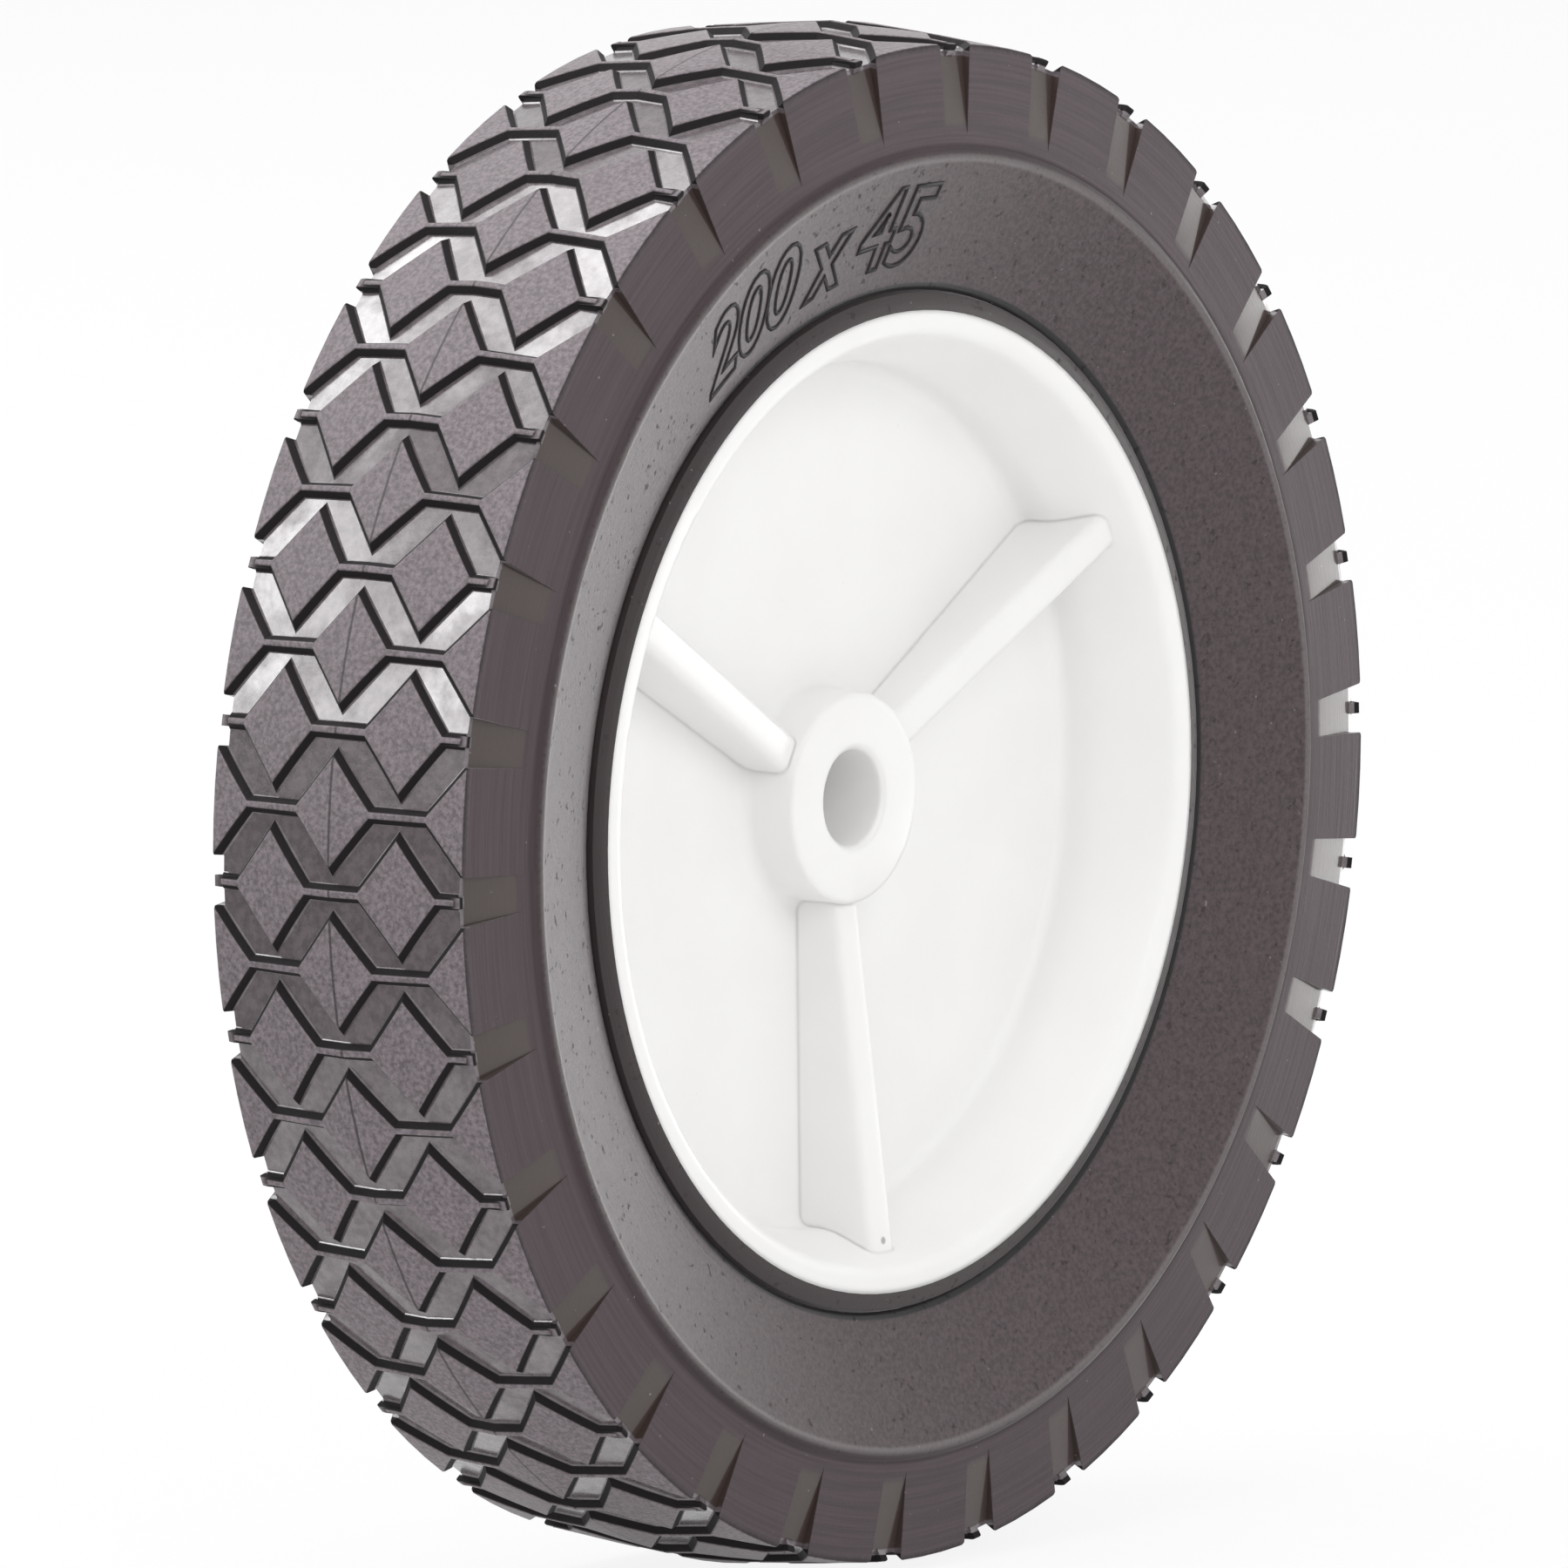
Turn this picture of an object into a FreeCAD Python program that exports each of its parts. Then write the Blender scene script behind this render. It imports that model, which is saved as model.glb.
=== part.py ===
import FreeCAD, Part
import Sketcher
import os
import re

# Lawn mower wheel: a moulded rubber tyre with a diamond tread on a one-piece plastic hub.
# Millimetres. The wheel turns about Y, its outer face looks along -Y, and Z is up.

doc = FreeCAD.newDocument("LawnMowerWheel")
sheet = doc.addObject("Spreadsheet::Sheet", "Dimensions")

dimensions = [
    # Tyre: outer profile
    ("tyre_diameter", 203.2, "over the crown of the tread"),
    ("tyre_width", 44.45, "over the two side crests"),
    ("tread_width", 40.3, "between the two shoulder edges"),
    ("quarter_drop", 0.85, "fall of the crown halfway to a shoulder"),
    ("shoulder_drop", 1.85, "fall of the crown at a shoulder"),
    ("band_height", 13.35, "of the side band, from the shoulder in to the step"),
    ("step_height", 1.0, "of the crest over the side band"),
    ("step_run", 1.2, "radial run of the step up to the crest"),
    ("crest_rounding", 0.6, "edge radius of the crest"),
    # Tyre: lip round the rim
    ("bead_rise", 0.95, "from the lip out to the foot of the dished side"),
    ("bead_width", 32.7, "between the two sides at the lip's foot"),
    ("lip_width", 34.6, "over the two lips"),
    ("lip_thickness", 2.3, "radial thickness of the lip"),
    ("crease_depth", 0.65, "of the crease at the lip's foot"),
    # Tyre: rubber round the closed air channel
    ("tread_stock", 10.6, "between the air channel and the crown"),
    ("seat_stock", 8.8, "between the air channel and the rim's seat"),
    # Tread
    ("tread_pitches", 30, "rows of paired diamonds round the tyre"),
    ("tread_turn", 4.38, "turn of the first row from straight up, degrees"),
    ("tread_depth", 1.2, "of the grooves between the diamonds"),
    ("wall_draft", 41.0, "lean of the groove walls, degrees"),
    ("paired_length", 14.5, "of a diamond in a paired row, round the tyre"),
    ("single_length", 13.8, "of a diamond in a single row, round the tyre"),
    ("diamond_width", 11.4, "of a diamond at its two bars, across the tyre"),
    ("bar_width", 0.4, "of the bars that join the diamonds, along their crest"),
    ("bar_end", 4.0, "length of the bar's end that stands over a side notch"),
    ("cut_clearance", 1.0, "how far a cut stands past the surface it leaves by"),
    # Side notches
    ("notch_mouth", 6.7, "width of a side notch at the shoulder"),
    ("notch_end", 4.8, "width of a side notch at its inner end"),
    ("notch_margin", 1.4, "between a side notch's inner end and the step"),
    ("notch_depth", 1.3, "of a side notch at the shoulder"),
    # Hub: rim
    ("seat_diameter", 120.4, "of the tyre's seat between the flared edges"),
    ("seat_width", 12.0, "of the straight part of the seat"),
    ("flare_height", 4.45, "of the rim's two edges over the seat"),
    ("rim_width", 34.8, "over the rim's two edges"),
    ("rim_wall", 3.0, "thickness of the rim"),
    ("rim_rounding", 1.6, "radius of the rim's inner edges"),
    ("flare_rounding", 10.0, "radius where the rim starts to flare, inside"),
    # Hub: web and boss
    ("web_thickness", 3.4, "of the disc between boss and rim"),
    ("web_rounding", 1.8, "radius where the disc meets boss and rim"),
    ("boss_diameter", 28.0, "outside"),
    ("boss_front", 9.5, "reach of the boss from the middle, outer side"),
    ("boss_back", 25.4, "reach of the boss from the middle, inner side"),
    ("boss_rounding", 0.6, "edge radius of the boss"),
    ("bore_diameter", 12.8, "for a half inch axle bolt, with running clearance"),
    ("bore_chamfer", 0.6, "at the two mouths of the bore"),
    # Hub: ribs
    ("rib_count", 3, "ribs on each side"),
    ("rib_turn", 89.0, "turn of the first rib from +X, degrees"),
    ("rib_thickness", 5.2, "of a rib"),
    ("rib_outer", 13.8, "reach of a rib from the middle, at the rim"),
    ("rib_front_inner", 7.8, "reach of a front rib from the middle, at the boss"),
    ("rib_back_inner", 16.0, "reach of a back rib from the middle, at the boss"),
    ("rib_rounding", 1.3, "radius along a rib's free edges"),
]

for row, (alias, size, note) in enumerate(dimensions, start=1):
    sheet.set(f"A{row}", alias)
    sheet.set(f"B{row}", str(size))
    sheet.setAlias(f"B{row}", alias)
    sheet.set(f"C{row}", note)
doc.recompute()

aliases = {alias for alias, size, note in dimensions}


def bound(formula):
    # The formula with each dimension's name pointed at its cell.
    return re.sub(
        r"[a-z_]+",
        lambda word: f"Dimensions.{word.group()}" if word.group() in aliases else word.group(),
        formula,
    )


def amount(formula):
    return float(sheet.evalExpression(bound(formula)))


def drive(feature, prop, formula):
    feature.setExpression(prop, bound(formula))


def origin_feature(body, role):
    return next(item for item in body.Origin.OriginFeatures if item.Role == role)


def new_body(label, turn):
    body = doc.addObject("PartDesign::Body", label)
    body.Label = label
    body.Placement = FreeCAD.Placement(
        FreeCAD.Vector(0, 0, 0), FreeCAD.Rotation(FreeCAD.Vector(0, 1, 0), amount(turn))
    )
    drive(body, "Placement.Rotation.Angle", turn)
    return body


def new_sketch(body, name, plane):
    sketch = body.newObject("Sketcher::SketchObject", name)
    sketch.AttachmentSupport = [(origin_feature(body, plane), "")]
    sketch.MapMode = "FlatFace"
    return sketch


def pin_point(sketch, geometry, point, place):
    for kind, formula in zip(("DistanceX", "DistanceY"), place):
        number = sketch.addConstraint(
            Sketcher.Constraint(kind, -1, 1, geometry, point, amount(formula))
        )
        drive(sketch, f"Constraints[{number}]", formula)


def draw_outline(sketch, corners):
    # A closed outline of straight edges, each corner held by two formulas.
    points = [FreeCAD.Vector(amount(x), amount(y), 0) for x, y in corners]
    first = sketch.GeometryCount
    count = len(points)
    for index in range(count):
        sketch.addGeometry(Part.LineSegment(points[index], points[(index + 1) % count]), False)
    for index in range(count):
        following = first + (index + 1) % count
        sketch.addConstraint(Sketcher.Constraint("Coincident", first + index, 2, following, 1))
        pin_point(sketch, first + index, 1, corners[index])


def draw_circle(sketch, centre, radius):
    middle = FreeCAD.Vector(amount(centre[0]), amount(centre[1]), 0)
    circle = sketch.addGeometry(Part.Circle(middle, FreeCAD.Vector(0, 0, 1), amount(radius)), False)
    pin_point(sketch, circle, 3, centre)
    number = sketch.addConstraint(Sketcher.Constraint("Radius", circle, amount(radius)))
    drive(sketch, f"Constraints[{number}]", radius)


def turn_about_axle(body, kind, name, sketch):
    feature = body.newObject(kind, name)
    feature.Profile = sketch
    feature.ReferenceAxis = (sketch, ["H_Axis"])
    feature.Angle = 360
    doc.recompute()
    return feature


def repeat_round(body, name, originals, count):
    pattern = body.newObject("PartDesign::PolarPattern", name)
    pattern.Originals = originals
    pattern.Axis = (origin_feature(body, "Y_Axis"), [""])
    pattern.Angle = 360
    pattern.Occurrences = int(amount(count))
    drive(pattern, "Occurrences", count)
    body.Tip = pattern
    doc.recompute()
    return pattern


def both_sides(half):
    # Corners from the +Y side round to the -Y side of a profile that is the same on both.
    mirrored = [(f"-({y})", z) for y, z in reversed(half) if y != "0"]
    return half + mirrored


def round_edges(body, name, base, chosen, radius, kind="PartDesign::Fillet", prop="Radius"):
    names = [f"Edge{index}" for index, edge in enumerate(base.Shape.Edges, start=1) if chosen(edge)]
    feature = body.newObject(kind, name)
    feature.Base = (base, names)
    drive(feature, prop, radius)
    doc.recompute()
    return feature


def ring_at(edge, radius, reach):
    # True for a circle about the axle of that radius at that place along it.
    curve = edge.Curve
    return (
        isinstance(curve, Part.Circle)
        and abs(abs(curve.Axis.y) - 1) < 1e-6
        and abs(curve.Radius - radius) < 1e-3
        and abs(curve.Center.y - reach) < 1e-3
    )


def rings(*places):
    # Picks the circles about the axle at these pairs of radius and place along it.
    wanted = [(amount(radius), amount(reach)) for radius, reach in places]
    return lambda edge: any(ring_at(edge, radius, reach) for radius, reach in wanted)


def on_both_sides(radius, reach):
    return [(radius, reach), (radius, f"-({reach})")]


# Tyre. Its profile is drawn as radius over place along the axle.
crown = "tyre_diameter / 2"
shoulder = "tread_width / 2"
quarter = "tread_width / 4"
side = "tyre_width / 2"
shoulder_radius = f"({crown} - shoulder_drop)"
band_foot = f"({shoulder_radius} - band_height)"
crest = f"({band_foot} - step_run)"
seat = "seat_diameter / 2"
seat_reach = "seat_width / 2"
rim_edge = f"({seat} + flare_height)"
rim_reach = "rim_width / 2"
lip_top = f"({rim_edge} + lip_thickness)"
bead = f"({lip_top} + bead_rise)"
channel_top = f"({crown} - tread_stock)"
channel_foot = f"({seat} + seat_stock)"

tyre = new_body("tyre", "tread_turn")

# Carcass: the whole outer shape of the tyre before its tread is cut, with the closed air channel.
carcass_sketch = new_sketch(tyre, "CarcassSection", "YZ_Plane")
draw_outline(carcass_sketch, both_sides([
    ("0", crown),
    (quarter, f"{crown} - quarter_drop"),
    (shoulder, shoulder_radius),
    (f"{side} - step_height", band_foot),
    (side, crest),
    ("bead_width / 2", bead),
    ("bead_width / 2 - crease_depth", f"{bead} - crease_depth"),
    ("lip_width / 2 - crease_depth", lip_top),
    ("lip_width / 2", f"{rim_edge} + lip_thickness / 2"),
    (rim_reach, rim_edge),
    (seat_reach, seat),
]))
draw_circle(
    carcass_sketch, ("0", f"({channel_top} + {channel_foot}) / 2"), f"({channel_top} - {channel_foot}) / 2"
)
carcass = turn_about_axle(tyre, "PartDesign::Revolution", "Carcass", carcass_sketch)
crest_edges = round_edges(
    tyre, "CrestRounding", carcass, rings(*on_both_sides(crest, side)), "crest_rounding"
)

# Side notches: ramps that run out at their inner end, one under each bar that meets a shoulder.
# Each is a wedge with y along the radius whose z runs out of the front.
past_side = f"({side} + cut_clearance)"
past_crown = f"({crown} + cut_clearance)"
band_lean = f"(({side} - step_height - {shoulder}) / band_height)"
notch_length = "(band_height - notch_margin)"
notch_inner = f"({shoulder_radius} - {notch_length})"
inner_floor = f"({shoulder} + {band_lean} * {notch_length})"
ramp = f"(({inner_floor} - {shoulder} + notch_depth) / {notch_length})"
outer_floor = f"({shoulder} - notch_depth - {ramp} * ({past_crown} - {shoulder_radius}))"
widening = f"((notch_mouth - notch_end) / {notch_length})"
outer_width = f"(notch_mouth + {widening} * ({past_crown} - {shoulder_radius}))"


def add_notch(name, near_inner, near_outer, far_inner, far_outer):
    notch = tyre.newObject("PartDesign::SubtractiveWedge", name)
    notch.AttachmentSupport = [(origin_feature(tyre, "XZ_Plane"), "")]
    notch.MapMode = "FlatFace"
    sizes = {
        "Ymin": notch_inner,
        "Ymax": past_crown,
        "Xmin": "-notch_end / 2",
        "Xmax": "notch_end / 2",
        "X2min": f"-{outer_width} / 2",
        "X2max": f"{outer_width} / 2",
        "Zmin": near_inner,
        "Z2min": near_outer,
        "Zmax": far_inner,
        "Z2max": far_outer,
    }
    for prop, formula in sizes.items():
        setattr(notch, prop, amount(formula))
        drive(notch, prop, formula)
    doc.recompute()
    return notch


front_notch = add_notch("FrontNotch", inner_floor, outer_floor, past_side, past_side)
back_notch = add_notch(
    "BackNotch", f"-{past_side}", f"-{past_side}", f"-{inner_floor}", f"-{outer_floor}"
)

# Tread: two kinds of row take turns. A paired row has two diamonds, a single row has one on the
# middle and half a diamond on each shoulder, and bars join the diamonds of a row. The grooves
# between two rows are cut one by one from their floors outwards, and where the leaning walls of two
# grooves meet they leave the tip of a diamond.
bar = "bar_width / 2"
half = "diamond_width / 2"
wall_run = "(tread_depth * tan(wall_draft * 1 deg))"
row_reach = f"(({crown} - tread_depth) * sin(90 deg / tread_pitches) - {bar})"
floor_reach = f"({row_reach} - {wall_run})"
crossing = f"(2 * {row_reach} - {wall_run})"


def floor_edges(length):
    # How far the floor's edge beside a diamond lies from the diamond's middle: at its bar, and
    # across the groove at the next row's bar.
    slope = f"({half} / ({length} / 2 - {bar}))"
    offset = f"({half} + {wall_run} * sqrt(1 + {slope} ^ 2))"
    return f"({offset} - {slope} * {wall_run})", f"({offset} - {slope} * {crossing})"


paired_near, paired_far = floor_edges("paired_length")
single_near, single_far = floor_edges("single_length")


def add_groove(name, turn, paired, single, fall, level):
    # One groove between a diamond of a paired row and one of the single row that is next to it.
    # Its floor leans with the crown, which falls by that much over a quarter of the tread's width.
    way = 1 if amount(f"{single} - {paired}") > 0 else -1
    outward = 1 if amount(f"{single} + {paired}") > 0 else -1
    row_way = 1 if amount(turn) > 0 else -1
    middle = f"({paired} + {single}) / 2"
    height = f"({level} - ({fall}) / 2 - tread_depth)"
    sketch = new_sketch(tyre, f"{name}Floor", "XY_Plane")
    drive(sketch, "AttachmentOffset.Rotation.Pitch", turn)
    drive(sketch, "AttachmentOffset.Rotation.Roll", f"{-outward} * atan(({fall}) / ({quarter}))")
    drive(sketch, "AttachmentOffset.Base.x", f"{height} * sin(({turn}) * 1 deg)")
    drive(sketch, "AttachmentOffset.Base.y", middle)
    drive(sketch, "AttachmentOffset.Base.z", f"{height} * cos(({turn}) * 1 deg)")
    doc.recompute()
    draw_outline(sketch, [
        (f"{-row_way} * {floor_reach}", f"{paired} + {way} * {paired_near} - {middle}"),
        (f"{row_way} * {floor_reach}", f"{paired} + {way} * {paired_far} - {middle}"),
        (f"{row_way} * {floor_reach}", f"{single} - {way} * {single_near} - {middle}"),
        (f"{-row_way} * {floor_reach}", f"{single} - {way} * {single_far} - {middle}"),
    ])
    groove = tyre.newObject("PartDesign::Pocket", name)
    groove.Profile = sketch
    groove.Reversed = True
    drive(groove, "Length", "tread_depth + cut_clearance")
    drive(groove, "TaperAngle", "wall_draft")
    doc.recompute()
    return groove


inner_fall = "quarter_drop"
outer_fall = "shoulder_drop - quarter_drop"
outer_level = f"({crown} - quarter_drop)"
grooves = []
for way_name, turn in (("Ahead", "90 / tread_pitches"), ("Behind", "-90 / tread_pitches")):
    for side_name, sign in (("Back", ""), ("Front", "-")):
        inner = add_groove(
            f"{side_name}Inner{way_name}", turn, f"({sign}{quarter})", "0", inner_fall, f"({crown})"
        )
        outer = add_groove(
            f"{side_name}Outer{way_name}", turn, f"({sign}{quarter})", f"({sign}{shoulder})",
            outer_fall, outer_level,
        )
        grooves += [inner, outer]

# Bar ends: each bar of a paired row runs on over the notches and ends flush with the shoulders.
end_start = f"({shoulder} - bar_end)"
end_foot = f"({shoulder_radius} - tread_depth)"
bar_sketch = new_sketch(tyre, "BarEndSection", "YZ_Plane")
for sign in ("", "-"):
    draw_outline(bar_sketch, [
        (f"{sign}{end_start}", f"{end_foot} - tread_depth"),
        (f"{sign}{end_start}", shoulder_radius),
        (f"{sign}({shoulder})", shoulder_radius),
        (f"{sign}({shoulder} - notch_depth)", f"{end_foot} - tread_depth"),
    ])
bar_ends = tyre.newObject("PartDesign::Pad", "BarEnds")
bar_ends.Profile = bar_sketch
bar_ends.SideType = "Symmetric"
drive(bar_ends, "Length", f"bar_width + {wall_run}")
doc.recompute()

tread = repeat_round(tyre, "Tread", [front_notch, back_notch] + grooves + [bar_ends], "tread_pitches")

# Hub: rim, disc and boss turned as one section.
wall_lean = f"(flare_height / ({rim_reach} - {seat_reach}))"
rim_inside = f"({seat} - rim_wall)"
edge_inside = f"({rim_edge} - rim_wall * sqrt(1 + {wall_lean} ^ 2))"
inside_reach = f"({rim_reach} - ({edge_inside} - {rim_inside}) / {wall_lean})"
web = "web_thickness / 2"
boss = "boss_diameter / 2"
bore = "bore_diameter / 2"

hub = new_body("wheel_hub", "rib_turn")
hub_sketch = new_sketch(hub, "HubSection", "YZ_Plane")
draw_outline(hub_sketch, [
    ("boss_back", bore),
    ("boss_back", boss),
    (web, boss),
    (web, rim_inside),
    (inside_reach, rim_inside),
    (rim_reach, edge_inside),
    (rim_reach, rim_edge),
    (seat_reach, seat),
    (f"-{seat_reach}", seat),
    (f"-{rim_reach}", rim_edge),
    (f"-{rim_reach}", edge_inside),
    (f"-{inside_reach}", rim_inside),
    (f"-{web}", rim_inside),
    (f"-{web}", boss),
    ("-boss_front", boss),
    ("-boss_front", bore),
])
turned = turn_about_axle(hub, "PartDesign::Revolution", "TurnedHub", hub_sketch)
web_roots = round_edges(
    hub, "WebRounding", turned, rings(*on_both_sides(boss, web), *on_both_sides(rim_inside, web)),
    "web_rounding",
)
flared = round_edges(
    hub, "FlareRounding", web_roots, rings(*on_both_sides(rim_inside, inside_reach)), "flare_rounding"
)
rim_lips = round_edges(
    hub, "RimRounding", flared, rings(*on_both_sides(edge_inside, rim_reach)), "rim_rounding"
)
boss_ends = round_edges(
    hub, "BossRounding", rim_lips, rings((boss, "-boss_front"), (boss, "boss_back")), "boss_rounding"
)
bore_mouths = round_edges(
    hub, "BoreChamfer", boss_ends, rings((bore, "-boss_front"), (bore, "boss_back")), "bore_chamfer",
    "PartDesign::Chamfer", "Size",
)

# Ribs: each runs from inside the boss into the rim's wall, rising with its free edge.
rib_foot = f"(({boss} + {bore}) / 2)"
rib_end = f"({rim_inside} + rim_wall / 2)"
rib_end_outer = f"({rib_end} + {wall_lean} * (rib_outer - {inside_reach}))"
rib_sketch = new_sketch(hub, "RibSection", "XY_Plane")
draw_outline(rib_sketch, [
    (rib_foot, "rib_back_inner"),
    (rib_end_outer, "rib_outer"),
    (rib_end, inside_reach),
    (rib_end, f"-{inside_reach}"),
    (rib_end_outer, "-rib_outer"),
    (rib_foot, "-rib_front_inner"),
])
rib = hub.newObject("PartDesign::Pad", "Rib")
rib.Profile = rib_sketch
rib.SideType = "Symmetric"
drive(rib, "Length", "rib_thickness")
doc.recompute()
ribs = repeat_round(hub, "Ribs", [rib], "rib_count")


def is_rib_edge(edge):
    # The free edges of the ribs are straight, clear of the disc and square to the axle or nearly so.
    if not isinstance(edge.Curve, Part.Line):
        return False
    nearest = min(abs(vertex.Point.y) for vertex in edge.Vertexes)
    return nearest > amount(f"{web} + rib_rounding") and abs(edge.tangentAt(0).y) < 0.6


rib_edges = round_edges(hub, "RibRounding", ribs, is_rib_edge, "rib_rounding")
hub.Tip = rib_edges

doc.recompute()

for item in doc.Objects:
    if "Invalid" in item.State or "Error" in item.State:
        raise RuntimeError(f"{item.Name} failed: {item.State}")

os.makedirs("parts", exist_ok=True)
for body in (tyre, hub):
    shape = body.Shape
    if shape.isNull() or not shape.isValid() or len(shape.Solids) != 1:
        raise RuntimeError(f"{body.Label} is not one valid solid")
    shape.exportStep(f"parts/{body.Label}.step")
    print(body.Label, round(shape.Volume / 1000, 1), "cm3", len(shape.Faces), "faces", shape.BoundBox)
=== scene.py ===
import bpy
import bmesh
import math
from mathutils import Matrix, Vector


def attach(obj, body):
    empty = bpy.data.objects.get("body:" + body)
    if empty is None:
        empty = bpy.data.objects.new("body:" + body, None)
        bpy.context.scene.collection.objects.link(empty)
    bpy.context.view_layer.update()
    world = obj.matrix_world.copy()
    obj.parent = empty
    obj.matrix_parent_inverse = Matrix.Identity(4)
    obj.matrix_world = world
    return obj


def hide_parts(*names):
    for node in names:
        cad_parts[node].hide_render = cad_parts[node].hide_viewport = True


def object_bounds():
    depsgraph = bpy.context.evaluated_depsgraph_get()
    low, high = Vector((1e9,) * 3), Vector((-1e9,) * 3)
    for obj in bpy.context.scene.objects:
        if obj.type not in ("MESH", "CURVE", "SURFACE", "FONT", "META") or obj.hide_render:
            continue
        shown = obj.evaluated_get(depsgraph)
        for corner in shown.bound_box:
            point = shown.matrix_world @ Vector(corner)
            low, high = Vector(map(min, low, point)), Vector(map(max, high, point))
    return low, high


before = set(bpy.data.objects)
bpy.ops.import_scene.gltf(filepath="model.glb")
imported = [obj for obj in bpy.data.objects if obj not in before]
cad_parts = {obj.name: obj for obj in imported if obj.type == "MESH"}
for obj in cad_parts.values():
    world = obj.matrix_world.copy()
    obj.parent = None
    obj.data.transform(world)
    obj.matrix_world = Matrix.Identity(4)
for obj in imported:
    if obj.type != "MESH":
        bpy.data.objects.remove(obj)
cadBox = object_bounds()
mm = 0.001
weldGap = 0.002 * mm  # corners nearer than this become one
print("frame loaded:", sorted(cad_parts))


class Value:  # a socket that takes part in plain sums
    def __init__(self, graph, socket):
        self.graph = graph
        self.socket = socket

    def calc(self, operation, *parts):
        return self.graph.add("ShaderNodeMath", {"operation": operation}, dict(enumerate(parts)))

    def __add__(self, other):
        return self.calc("ADD", self, other)

    def __radd__(self, other):
        return self.calc("ADD", other, self)

    def __sub__(self, other):
        return self.calc("SUBTRACT", self, other)

    def __rsub__(self, other):
        return self.calc("SUBTRACT", other, self)

    def __mul__(self, other):
        return self.calc("MULTIPLY", self, other)

    def __rmul__(self, other):
        return self.calc("MULTIPLY", other, self)

    def __truediv__(self, other):
        return self.calc("DIVIDE", self, other)

    def __rtruediv__(self, other):
        return self.calc("DIVIDE", other, self)

    def __pow__(self, other):
        return self.calc("POWER", self, other)

    def __abs__(self):
        return self.calc("ABSOLUTE", self)

    def least(self, other):
        return self.calc("MINIMUM", self, other)

    def most(self, other):
        return self.calc("MAXIMUM", self, other)

    def rise(self, start, end):  # 0 before start, 1 after end, soft between
        return self.graph.add("ShaderNodeMapRange", {"interpolation_type": "SMOOTHSTEP"},
                              {"Value": self, "From Min": start, "From Max": end})

    def fall(self, start, end):
        return 1 - self.rise(start, end)


class Finish:  # one node tree, of a material or of the world
    def __init__(self, owner):
        owner.use_nodes = True
        self.owner = owner
        self.tree = owner.node_tree
        self.tree.nodes.clear()

    def add(self, kind, settings=None, sockets=None, output=0):
        node = self.tree.nodes.new(kind)
        for key, value in (settings or {}).items():
            setattr(node, key, value)
        for key, value in (sockets or {}).items():
            if isinstance(value, Value):
                self.tree.links.new(value.socket, node.inputs[key])
            else:
                node.inputs[key].default_value = value
        return Value(self, node.outputs[output]) if node.outputs else None

    def place(self):  # object coordinates in millimetres
        spot = self.add("ShaderNodeTexCoord", output="Object")
        return self.add("ShaderNodeVectorMath", {"operation": "SCALE"}, {0: spot, "Scale": 1 / mm})

    def parts(self, vector, ways="XYZ"):
        return [self.add("ShaderNodeSeparateXYZ", None, {0: vector}, output=way) for way in ways]

    def joined(self, x, y, z):
        return self.add("ShaderNodeCombineXYZ", None, {"X": x, "Y": y, "Z": z})

    def blend(self, mask, first, second):  # 6, 7 and 2 are the node's colour sockets
        return self.add("ShaderNodeMix", {"data_type": "RGBA"}, {0: mask, 6: first, 7: second}, output=2)

    def noise(self, vector, scale, detail, roughness):
        return self.add("ShaderNodeTexNoise", None,
                        {"Vector": vector, "Scale": scale, "Detail": detail, "Roughness": roughness})

    def bump(self, height, depth, strength, normal=None):
        sockets = {"Height": height, "Distance": depth * mm, "Strength": strength}
        if normal:
            sockets["Normal"] = normal
        return self.add("ShaderNodeBump", None, sockets)

    def rays(self):  # what the camera sees, straight or in gloss and glass, and gloss alone
        camera, glossy, through = [self.add("ShaderNodeLightPath", output=kind)
                                   for kind in ("Is Camera Ray", "Is Glossy Ray", "Is Transmission Ray")]
        return (camera + glossy + through).least(1.0), glossy


def newFinish(name):
    return Finish(bpy.data.materials.new(name))


def grey(level):
    return (level, level, level, 1.0)


def link(name, data):
    item = bpy.data.objects.new(name, data)
    bpy.context.scene.collection.objects.link(item)
    return item


def dress(piece, material):
    piece.data.materials.clear()
    piece.data.materials.append(material)


def weldedCopy(nodeName, pieceName):
    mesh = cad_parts[nodeName].data.copy()
    if mesh.has_custom_normals:
        mesh.attributes.remove(mesh.attributes["custom_normal"])
    piece = link(pieceName, mesh)
    shape = bmesh.new()
    shape.from_mesh(mesh)
    bmesh.ops.remove_doubles(shape, verts=shape.verts, dist=weldGap)
    bmesh.ops.dissolve_degenerate(shape, edges=shape.edges, dist=weldGap)
    return piece, shape


def settle(piece, shape, nodeName, sharpAngle):
    shape.to_mesh(piece.data)
    shape.free()
    piece.data.shade_smooth()
    piece.data.set_sharp_from_angle(angle=math.radians(sharpAngle))
    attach(piece, "root")
    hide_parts(nodeName)


# Tyre: the solid's own surface, welded, with the moulded edges of the tread rounded
tyreLook = {  # lengths in millimetres, angles in degrees
    "crown": 101.6, "quarter": 10.075, "quarterDrop": 0.85, "shoulder": 20.15, "shoulderDrop": 1.85,
    "bandLean": 0.0805, "crest": 85.7, "lip": 67.9,
    "flatAngle": 0.4, "edgeAngle": 25, "sharpAngle": 32, "crownSkin": 0.25, "shoulderSkin": 0.1,
    "edgeRound": 0.17, "edgeSteps": 3,
    "pitch": 12.0, "firstRow": 85.62, "barEnd": (0.4, 1.0), "barEndInner": 17.0, "barEndRound": 0.55,
}


def crownFall(near, beyond):  # drop of the crown from the middle: near up to the quarter, beyond past it
    t = tyreLook
    outer = (t["shoulderDrop"] - t["quarterDrop"]) / (t["shoulder"] - t["quarter"])
    return near * (t["quarterDrop"] / t["quarter"]) + beyond * outer


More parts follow.
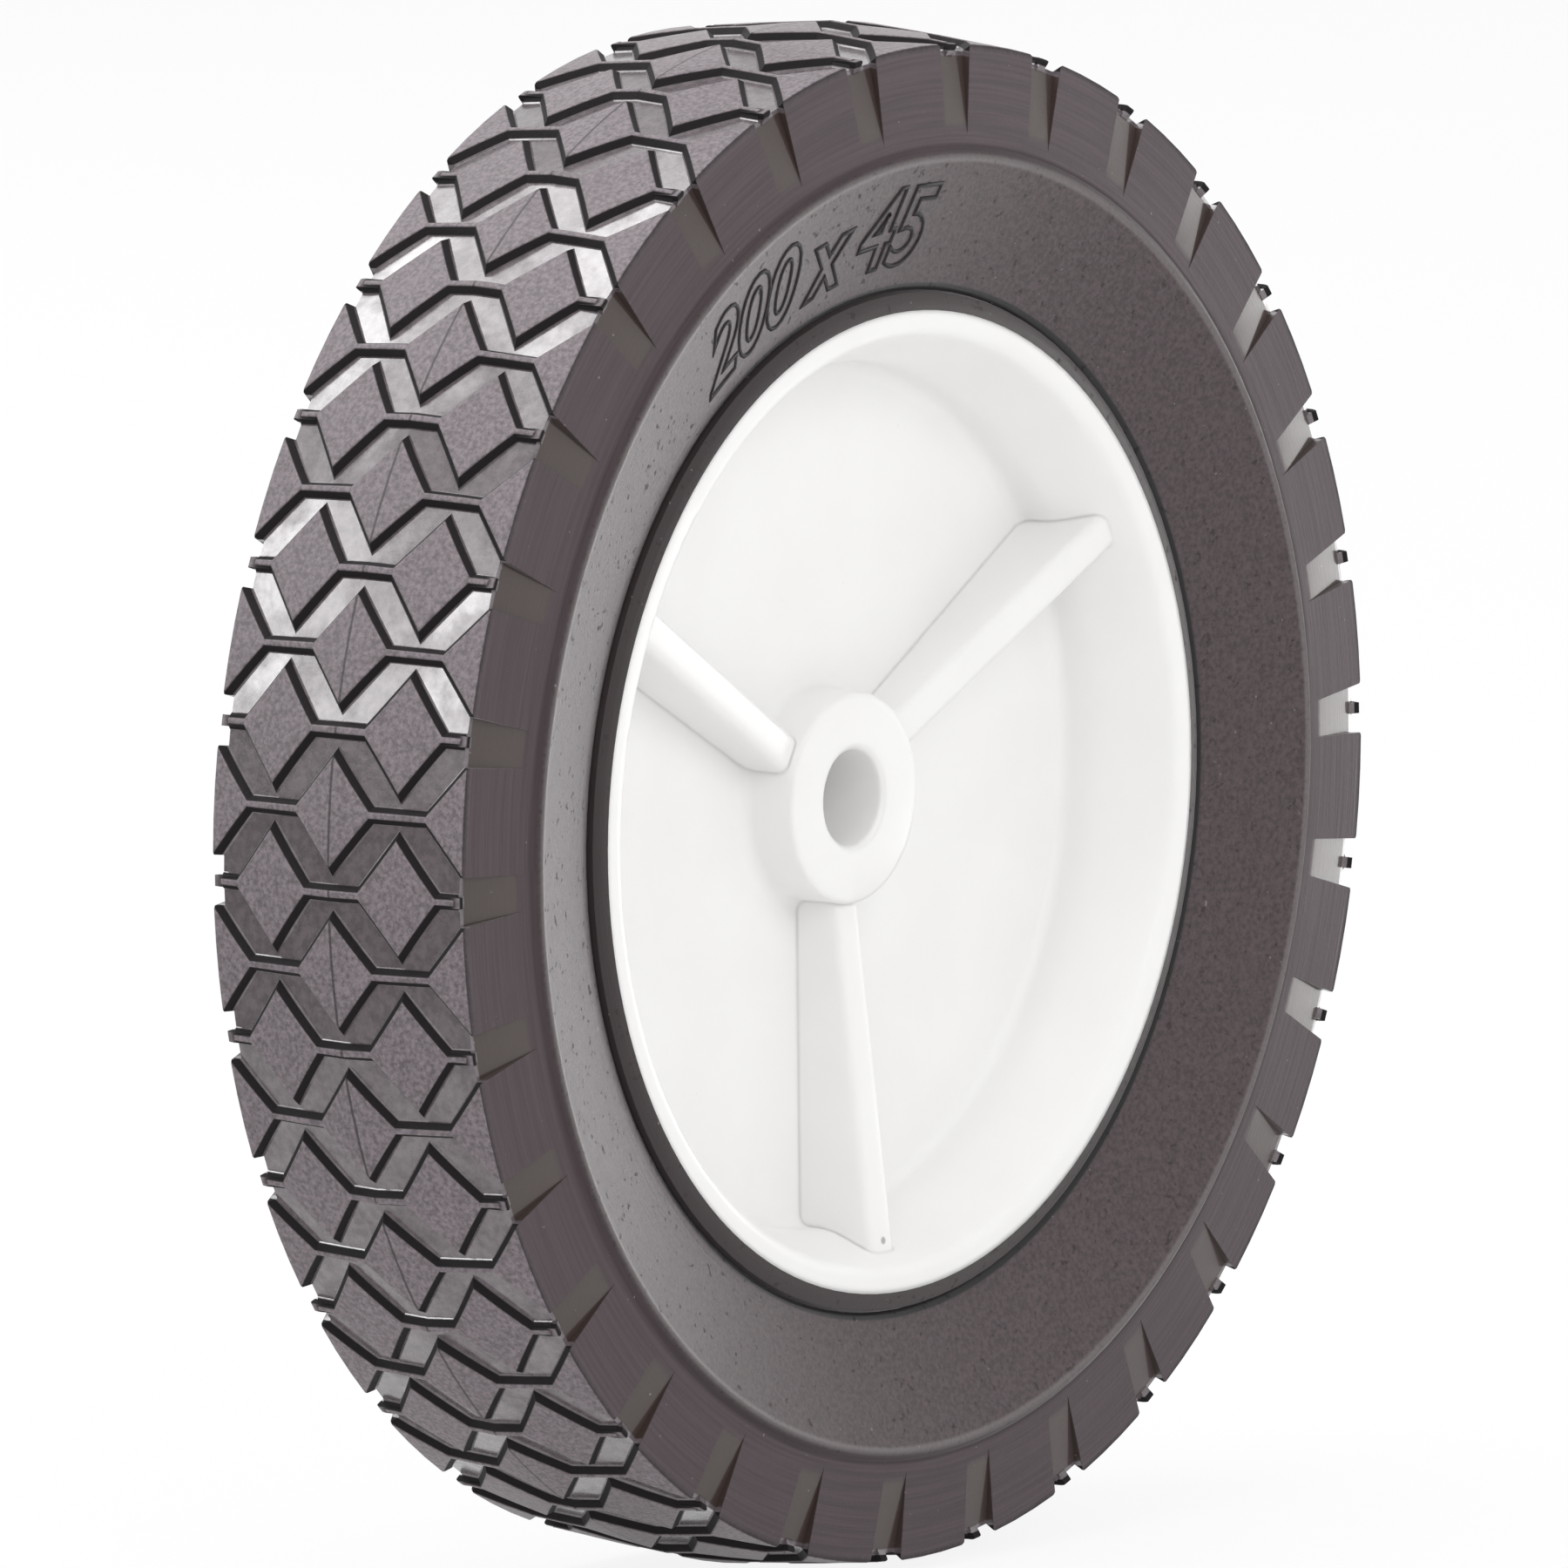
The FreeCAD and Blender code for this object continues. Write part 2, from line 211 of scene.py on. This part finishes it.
def onCrown(vert):
    t = tyreLook
    across = abs(vert.co.y) / mm
    crown = t["crown"] - crownFall(min(across, t["quarter"]), max(across - t["quarter"], 0))
    depth = crown - math.hypot(vert.co.x, vert.co.z) / mm
    return depth < t["crownSkin"] and across < t["shoulder"] + t["shoulderSkin"]


def onBarEnd(vert):
    t = tyreLook
    angle = math.degrees(math.atan2(vert.co.z, vert.co.x)) - t["firstRow"]
    offRow = math.radians((angle + t["pitch"] / 2) % t["pitch"] - t["pitch"] / 2) * t["crown"]
    near, far = t["barEnd"]
    return near < abs(offRow) < far and abs(vert.co.y) / mm > t["barEndInner"]


def crownEdges(shape, *tests):
    return [edge for edge in shape.edges if len(edge.link_faces) == 2
            and all(test(vert) for vert in edge.verts for test in (onCrown, *tests))
            and edge.calc_face_angle(0) > math.radians(tyreLook["edgeAngle"])]


def roundOff(shape, edges, radius):
    bmesh.ops.bevel(shape, geom=edges, offset=radius * mm, offset_type="OFFSET", affect="EDGES",
                    segments=tyreLook["edgeSteps"], profile=0.5, clamp_overlap=False, material=-1)
    return len(edges)


def makeTyre():
    t = tyreLook
    piece, shape = weldedCopy("tyre", "diamondTyre")
    bmesh.ops.dissolve_limit(shape, angle_limit=math.radians(t["flatAngle"]),
                             verts=shape.verts, edges=shape.edges)
    barEnds = roundOff(shape, crownEdges(shape, onBarEnd), t["barEndRound"])
    topEdges = roundOff(shape, crownEdges(shape), t["edgeRound"])
    settle(piece, shape, "tyre", t["sharpAngle"])
    even = piece.modifiers.new("evenShading", "WEIGHTED_NORMAL")
    even.mode = "FACE_AREA"
    even.keep_sharp = True
    print("tyre:", barEnds, "bar end and", topEdges, "tread edges rounded,",
          len(piece.data.polygons), "faces")
    return piece


# Rubber: each part of the tyre has its own tone, with shade painted into the groove walls, the parting line,
# the crest's step and the lip's foot, and a highlight painted just inside the crest; the grooves and notches
# are glossy
rubberLook = {
    "tones": {
        # the wall tone is painted shade: near black, for the shaded groove walls
        "top": (0.163, 0.137, 0.15), "wall": (0.014, 0.012, 0.013), "floor": (0.115, 0.094, 0.104),
        "band": (0.068, 0.05, 0.056), "notch": (0.042, 0.026, 0.022), "annulus": (0.064, 0.047, 0.05),
        "lip": (0.036, 0.027, 0.028), "speck": (0.3, 0.28, 0.28),
    },
    "spreads": {  # darkest and lightest share of a mottled tone
        "top": (0.62, 1.42), "floor": (0.8, 1.2), "band": (0.85, 1.15), "annulus": (0.65, 1.35),
    },
    "edges": {  # where one part gives way to the next, in millimetres
        "shoulder": (-0.05, 0.1), "treadBottom": (1.5, 1.8), "wallTop": (0.05, 0.2), "wallFoot": (0.9, 1.04),
        "crest": (-0.3, 0.3), "notch": (0.06, 0.2), "parting": (0.1, 0.28),
        "stepInside": (-1.1, -0.5), "stepOutside": (0.6, 1.4),
        "crestLineInside": (-1.6, -1.0), "crestLineOutside": (-0.6, 0.0),
        "lip": (-0.3, 0.2), "lipFootInside": (-0.9, -0.4), "lipFootOutside": (0.1, 0.5),
        "dullAcross": (8.0, 12.0), "dullHeight": (-20.0, 30.0),
    },
    "noises": {  # scale per millimetre, detail, roughness
        "grain": (1.5, 4.0, 0.65), "rings": (1.0, 3.0, 0.6), "speck": (1.3, 1.0, 0.4),
        "wear": (0.11, 4.0, 0.6), "ripple": (0.8, 3.0, 0.6), "pit": (0.9, 2.0, 0.5),
    },
    "ringRadius": 90.0, "ringStretch": (2.4, 0.04, 0.6),
    "mottle": (0.3, 0.7), "floorMottle": (0.35, 0.65),
    "speck": (0.79, 0.82), "wear": (0.36, 0.58), "pit": (0.3, 0.36),
    # shares of painted shade on the parting line, the step and the lip's foot, and of painted highlight just
    # inside the crest
    "partingShade": 0.75, "pitDark": 0.4, "stepShade": 0.25, "crestHighlight": 0.3, "footShadeShare": 0.5,
    "treadSpecks": 0.1, "sideSpecks": 0.4, "wallShadow": 0.85,
    "gloss": 0.35, "wearGloss": 0.45, "rippleGloss": 0.4, "rippleLevel": 0.4,
    "dulling": 0.5, "notchGloss": 0.42,
    "rough": 0.62, "grooveSmooth": 0.34, "annulusSmooth": 0.22,
    "pitRough": 0.3, "stepRough": 0.25, "grainRough": 0.15,
    "sideGrain": 0.3, "treadGrain": 0.7, "grooveCalm": 0.85, "ringHeight": 0.5, "rippleHeight": 0.4,
    "bump": (0.2, 0.5),  # depth in millimetres, strength
}


def rubberTone(name, share=1.0):
    return (*[part * share for part in rubberLook["tones"][name]], 1.0)


def mottled(f, pattern, name):
    low, high = rubberLook["spreads"][name]
    return f.blend(pattern, rubberTone(name, low), rubberTone(name, high))


def rubberZones(y, z, radius):  # masks by depth under the crown, by radius and across the tread
    t = tyreLook
    e = rubberLook["edges"]
    across = abs(y)
    crown = t["crown"] - crownFall(across.least(t["quarter"]), (across - t["quarter"]).most(0.0))
    depth = crown - radius
    fromCrest = radius - t["crest"]
    fromLip = radius - t["lip"]
    bandPlane = t["shoulder"] + (t["crown"] - t["shoulderDrop"] - radius) * t["bandLean"]
    inTread = (across - t["shoulder"]).fall(*e["shoulder"]) * depth.fall(*e["treadBottom"])
    side = 1 - inTread
    return {
        "side": side,
        "wall": inTread * depth.rise(*e["wallTop"]) * depth.fall(*e["wallFoot"]),
        "groove": inTread * depth.rise(*e["wallFoot"]),
        "notch": side * fromCrest.rise(*e["crest"]) * (bandPlane - across).rise(*e["notch"]),
        "annulus": side * fromCrest.fall(*e["crest"]),
        "step": side * fromCrest.rise(*e["stepInside"]) * fromCrest.fall(*e["stepOutside"]),
        "crestLine": side * fromCrest.rise(*e["crestLineInside"]) * fromCrest.fall(*e["crestLineOutside"]),
        "lip": fromLip.fall(*e["lip"]),
        "lipFoot": side * fromLip.rise(*e["lipFootInside"]) * fromLip.fall(*e["lipFootOutside"]),
        "parting": across.fall(*e["parting"]),
        "dull": across.fall(*e["dullAcross"]) * z.rise(*e["dullHeight"]),
    }


def rubberMarks(f, place, x, y, z, radius):
    k = rubberLook
    outward, along, sideways = k["ringStretch"]
    turn = z.calc("ARCTAN2", z, x) * k["ringRadius"]
    wound = f.joined(radius * outward, turn * along, y * sideways)
    marks = {name: f.noise(wound if name == "rings" else place, *noise)
             for name, noise in k["noises"].items()}
    marks["speck"] = marks["speck"].rise(*k["speck"])
    marks["wear"] = marks["wear"].rise(*k["wear"])
    marks["pit"] = marks["pit"].fall(*k["pit"])
    return marks


def rubberColour(f, zone, mark):
    k = rubberLook
    tread = mottled(f, mark["grain"].rise(*k["mottle"]), "top")
    # painted shade: a dark line along the middle of the tread, for the parting groove
    tread = f.blend(zone["parting"] * k["partingShade"], tread, rubberTone("wall"))
    # painted shade: the groove walls go near black
    tread = f.blend(zone["wall"], tread, rubberTone("wall"))
    tread = f.blend(zone["groove"], tread, mottled(f, mark["ripple"].rise(*k["floorMottle"]), "floor"))
    flank = mottled(f, mark["rings"].rise(*k["mottle"]), "band")
    flank = f.blend(zone["notch"], flank, rubberTone("notch"))
    flank = f.blend(zone["annulus"], flank, mottled(f, mark["grain"].rise(*k["mottle"]), "annulus"))
    flank = f.blend(mark["pit"] * k["pitDark"], flank, rubberTone("wall"))
    # painted shade on the step at the outer edge of the crest
    flank = f.blend(zone["step"] * k["stepShade"], flank, rubberTone("wall"))
    # painted highlight: a light line just inside the crest, in the speck tone
    flank = f.blend(zone["crestLine"] * k["crestHighlight"], flank, rubberTone("speck"))
    flank = f.blend(zone["lip"], flank, rubberTone("lip"))
    # painted shade: a dark ring where the lip meets the side
    flank = f.blend(zone["lipFoot"], flank, rubberTone("wall", k["footShadeShare"]))
    base = f.blend(zone["side"], tread, flank)
    specks = mark["speck"] * (k["treadSpecks"] + k["sideSpecks"] * zone["side"])
    return f.blend(specks, base, rubberTone("speck"))


def rubberGloss(zone, mark):
    k = rubberLook
    patches = k["wearGloss"] * mark["wear"] + k["rippleGloss"] * (mark["ripple"] - k["rippleLevel"])
    groove = zone["groove"] * (k["gloss"] + patches) * (1 - zone["dull"] * k["dulling"])
    return groove + zone["notch"] * k["notchGloss"]


def rubberRoughness(zone, mark):
    k = rubberLook
    smooth = zone["groove"] * k["grooveSmooth"] + zone["annulus"] * k["annulusSmooth"]
    rough = mark["pit"] * k["pitRough"] + zone["step"] * k["stepRough"]
    return k["rough"] - smooth + rough + (mark["grain"] - 0.5) * k["grainRough"]


def rubberHeight(zone, mark):
    k = rubberLook
    grain = mark["grain"] * (k["sideGrain"] + k["treadGrain"] * (1 - zone["side"]))
    height = grain * (1 - zone["groove"] * k["grooveCalm"]) + mark["rings"] * zone["side"] * k["ringHeight"]
    return height + mark["ripple"] * zone["groove"] * k["rippleHeight"]


def rubberFinish():
    f = newFinish("moulded rubber")
    place = f.place()
    x, y, z = f.parts(place)
    radius = (x * x + z * z) ** 0.5
    zone = rubberZones(y, z, radius)
    mark = rubberMarks(f, place, x, y, z, radius)
    mark["pit"] = zone["annulus"] * mark["pit"]
    normal = f.bump(rubberHeight(zone, mark), *rubberLook["bump"])
    rubber = f.add("ShaderNodeBsdfPrincipled", None, {
        "Base Color": rubberColour(f, zone, mark), "Normal": normal,
        "Roughness": rubberRoughness(zone, mark), "Specular IOR Level": 0.35,
        "Coat Weight": rubberGloss(zone, mark), "Coat Roughness": 0.13, "Coat IOR": 1.85,
        "Sheen Weight": 0.45, "Sheen Roughness": 0.3})
    shadow = f.add("ShaderNodeBsdfPrincipled", None, {  # groove walls in painted shade: near black, duller and less glossy than the rest
        "Base Color": rubberTone("wall"), "Roughness": 0.85, "Specular IOR Level": 0.12, "Normal": normal})
    shade = zone["wall"] * rubberLook["wallShadow"]
    mixed = f.add("ShaderNodeMixShader", None, {0: shade, 1: rubber, 2: shadow})
    f.add("ShaderNodeOutputMaterial", None, {"Surface": mixed})
    return f.owner


# Size figures: plain outlined numbers moulded on the dished side, reading clockwise round the axle, in a
# dark tone that is painted shade
figureLook = {  # lengths in millimetres, angles in degrees
    "text": "200 x 45", "height": 14.5, "slant": 0.28, "spacing": 0.98, "bold": 0.28, "stroke": 0.36,
    "strokeSteps": 2, "curveSteps": 5, "weld": 0.01, "sink": 0.12,
    "middle": 107.0, "radius": 76.3, "dishFoot": (67.9, 16.35), "dishCrest": (85.2, 22.225),
    "mottle": (0.35, 0.65), "spread": (0.8, 1.6), "rough": 0.6, "grainRough": 0.2, "bump": (0.15, 0.4),
}


def drawFigures():
    k = figureLook
    curve = bpy.data.curves.new("sizeFigures", "FONT")
    curve.body = k["text"]
    curve.size = k["height"]
    curve.shear = k["slant"]
    curve.space_character = k["spacing"]
    curve.offset = k["bold"]
    curve.fill_mode = "NONE"
    curve.bevel_depth = k["stroke"]
    curve.bevel_resolution = k["strokeSteps"]
    curve.resolution_u = k["curveSteps"]
    drawn = link("figureCurve", curve)
    bpy.context.view_layer.update()
    mesh = bpy.data.meshes.new_from_object(drawn.evaluated_get(bpy.context.evaluated_depsgraph_get()))
    bpy.data.objects.remove(drawn)
    bpy.data.curves.remove(curve)
    return mesh


def makeFigures():
    k = figureLook
    mesh = drawFigures()
    shape = bmesh.new()
    shape.from_mesh(mesh)
    bmesh.ops.remove_doubles(shape, verts=shape.verts, dist=k["weld"])
    lows, highs = [[pick(vert.co[way] for vert in shape.verts) for way in range(2)] for pick in (min, max)]
    footRadius, footReach = k["dishFoot"]
    crestRadius, crestReach = k["dishCrest"]
    lean = (crestReach - footReach) / (crestRadius - footRadius)
    for vert in shape.verts:
        along = vert.co.x - (lows[0] + highs[0]) / 2
        radius = k["radius"] + vert.co.y - (lows[1] + highs[1]) / 2
        angle = math.radians(k["middle"]) - along / k["radius"]
        reach = footReach + lean * (radius - footRadius) + vert.co.z - k["sink"]
        vert.co = Vector((radius * math.cos(angle), -reach, radius * math.sin(angle))) * mm
    bmesh.ops.recalc_face_normals(shape, faces=shape.faces)
    shape.to_mesh(mesh)
    shape.free()
    mesh.shade_smooth()
    piece = link("sizeFigures", mesh)
    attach(piece, "root")
    print("figures:", len(mesh.polygons), "faces")
    return piece


def figureFinish():
    k = figureLook
    f = newFinish("raised rubber outline in painted shade")
    grain = f.noise(f.place(), *rubberLook["noises"]["grain"])
    # painted shade: the outlines take the dark wall tone, mottled by grain
    base = f.blend(grain.rise(*k["mottle"]), *[rubberTone("wall", share) for share in k["spread"]])
    shader = f.add("ShaderNodeBsdfPrincipled", None, {
        "Base Color": base, "Roughness": k["rough"] + (grain - 0.5) * k["grainRough"],
        "Specular IOR Level": 0.3, "Normal": f.bump(grain, *k["bump"])})
    f.add("ShaderNodeOutputMaterial", None, {"Surface": shader})
    return f.owner


# Hub: one moulding in white plastic, with the mark of the mould's gate at the outer end of the lower rib
hubLook = {  # lengths in millimetres, angles in degrees
    "sharpAngle": 40, "softEdge": 1.2, "softSamples": 4,
    "dull": (0.872, 0.864, 0.854, 1.0), "bright": (0.892, 0.887, 0.878, 1.0),
    "cloud": (0.05, 3.0, 0.5), "fine": (0.8, 3.0, 0.6),  # scale per millimetre, detail, roughness
    "cloudMottle": (0.3, 0.7), "rough": 0.3, "fineRough": 0.1,
    "bump": (0.04, 0.25),  # depth, strength
    "gateMark": (1.0, -13.4, -58.4), "gateMarkEdge": (0.3, 0.65), "gateMarkGrey": 0.2, "gateMarkShare": 0.7,
}


def makeHub():
    piece, shape = weldedCopy("wheel_hub", "ribbedHub")
    settle(piece, shape, "wheel_hub", hubLook["sharpAngle"])
    print("hub:", len(piece.data.polygons), "faces")
    return piece


def plasticFinish():
    k = hubLook
    f = newFinish("white moulded plastic")
    place = f.place()
    cloud = f.noise(place, *k["cloud"])
    fine = f.noise(place, *k["fine"])
    base = f.blend(cloud.rise(*k["cloudMottle"]), k["dull"], k["bright"])
    x, y, z = [way - middle for way, middle in zip(f.parts(place), k["gateMark"])]
    gateMark = ((x * x + y * y + z * z) ** 0.5).fall(*k["gateMarkEdge"])
    base = f.blend(gateMark * k["gateMarkShare"], base, grey(k["gateMarkGrey"]))
    soft = f.add("ShaderNodeBevel", {"samples": k["softSamples"]}, {"Radius": k["softEdge"] * mm})
    shader = f.add("ShaderNodeBsdfPrincipled", None, {
        "Base Color": base, "Roughness": k["rough"] + (fine - 0.5) * k["fineRough"],
        "Normal": f.bump(fine, *k["bump"], soft)})
    f.add("ShaderNodeOutputMaterial", None, {"Surface": shader})
    return f.owner


dress(makeTyre(), rubberFinish())
dress(makeFigures(), figureFinish())
dress(makeHub(), plasticFinish())
print("wheel dressed")

# Camera: in degrees, metres and pixels of the picture, with the sensor in millimetres
cameraLook = {"azimuth": -53.58, "elevation": 7.2, "distance": 4.131, "focalPixels": 36108.0,
              "imageSize": 1800, "centre": (914.2, 909.8), "sensor": 36.0, "clip": (0.1, 50.0)}


def makeCamera():
    c = cameraLook
    a = math.radians(c["azimuth"])
    e = math.radians(c["elevation"])
    back = Vector((math.sin(a) * math.cos(e), -math.cos(a) * math.cos(e), math.sin(e)))
    right = Vector((math.cos(a), math.sin(a), 0))
    up = back.cross(right)
    data = bpy.data.cameras.new("viewpoint")
    data.sensor_width = c["sensor"]
    data.lens = c["focalPixels"] * data.sensor_width / c["imageSize"]
    data.shift_x = (c["imageSize"] / 2 - c["centre"][0]) / c["imageSize"]
    data.shift_y = (c["centre"][1] - c["imageSize"] / 2) / c["imageSize"]
    data.clip_start, data.clip_end = c["clip"]
    camera = link("viewpoint", data)
    turn = Matrix((right, up, back)).transposed().to_4x4()
    camera.matrix_world = Matrix.Translation(back * c["distance"]) @ turn
    bpy.context.scene.camera = camera


makeCamera()

# Studio: white floor, soft lamps that gloss doesn't show, and reflectors that only gloss shows
studioLook = {
    "floorSize": 8.0, "floorWhite": 0.86, "floorGlow": 0.88, "ambient": 0.665, "dimming": 0.75, "shine": 4.4,
    "floorAway": (170.0, 300.0), "floorShade": (50.0, 150.0), "floorShine": (250.0, 500.0),  # millimetres
    "floorShineTurn": 0.1, "floorShineEdge": (0.25, 0.45),  # y over x
    "skyShade": (0.2, 0.5), "skyShadeTop": (0.08, 0.22),  # parts of a direction
    "skyShine": (0.86, 0.95), "skyShineTop": (0.0, 0.12),
    "lamps": {  # metres and watts
        "topPanel": {"place": (-0.25, 0.15, 1.6), "size": (1.4, 1.4), "power": 15.0},
        "frontPanel": {"place": (-0.7, -1.5, 0.9), "size": (1.4, 1.0), "power": 9.5},
        "backPanel": {"place": (0.7, 1.5, 0.8), "size": (1.4, 1.0), "power": 6.5},
    },
    "reflectors": {
        "leftReflector": {"place": (-1.28, 1.0, 0.65), "size": (1.2, 0.77), "power": 19.5},
        "topReflector": {"place": (-0.18, 1.0, 1.5), "size": (1.25, 1.1), "power": 22.0},
    },
}


def makePanel(name, lamp):
    light = bpy.data.lights.new(name, "AREA")
    light.shape = "RECTANGLE"
    light.size, light.size_y = lamp["size"]
    light.energy = lamp["power"]
    panel = link(name, light)
    place = Vector(lamp["place"])
    panel.matrix_world = Matrix.Translation(place) @ place.to_track_quat("Z", "Y").to_matrix().to_4x4()
    return panel


def floorFinish():
    s = studioLook
    f = newFinish("white floor")
    seen, glossy = f.rays()
    x, y = f.parts(f.place(), "XY")
    away = ((x * x + y * y) ** 0.5).rise(*s["floorAway"])
    shaded = (x * -1.0).rise(*s["floorShade"]) * away * s["dimming"]
    fan = abs(y / x + s["floorShineTurn"]).fall(*s["floorShineEdge"])
    shining = x.rise(*s["floorShine"]) * fan * s["shine"]
    level = 1 + glossy * (shining - shaded)
    white = f.blend(level, grey(0.0), grey(s["floorWhite"]))
    plain = f.add("ShaderNodeBsdfDiffuse", None, {"Color": white})
    glow = f.add("ShaderNodeEmission", None, {"Color": grey(1.0), "Strength": level})
    mixed = f.add("ShaderNodeMixShader", None, {0: seen * s["floorGlow"], 1: plain, 2: glow})
    f.add("ShaderNodeOutputMaterial", None, {"Surface": mixed})
    return f.owner


def makeFloor():
    floor = link("studioFloor", bpy.data.meshes.new("studioFloor"))
    shape = bmesh.new()
    bmesh.ops.create_grid(shape, x_segments=1, y_segments=1, size=studioLook["floorSize"] / 2)
    bmesh.ops.translate(shape, verts=shape.verts, vec=(0, 0, cadBox[0][2]))
    shape.to_mesh(floor.data)
    shape.free()
    dress(floor, floorFinish())


def makeWorld():
    s = studioLook
    world = bpy.data.worlds.new("studio")
    bpy.context.scene.world = world
    f = Finish(world)
    seen, glossy = f.rays()
    x, z = f.parts(f.add("ShaderNodeTexCoord"), "XZ")  # a ray's direction
    shaded = (x * -1.0).rise(*s["skyShade"]) * z.fall(*s["skyShadeTop"]) * s["dimming"]
    shining = x.rise(*s["skyShine"]) * z.fall(*s["skyShineTop"]) * s["shine"]
    level = 1 + glossy * (shining - shaded)
    room = f.add("ShaderNodeBackground", None, {"Color": grey(1.0), "Strength": s["ambient"]})
    white = f.add("ShaderNodeBackground", None, {"Color": grey(1.0), "Strength": level})
    mixed = f.add("ShaderNodeMixShader", None, {0: seen, 1: room, 2: white})
    f.add("ShaderNodeOutputWorld", None, {"Surface": mixed})


makeFloor()
makeWorld()
for name, lamp in studioLook["lamps"].items():
    makePanel(name, lamp).visible_glossy = False
for name, lamp in studioLook["reflectors"].items():
    makePanel(name, lamp).visible_diffuse = False
bpy.context.scene.view_settings.view_transform = "Standard"
print("studio ready")
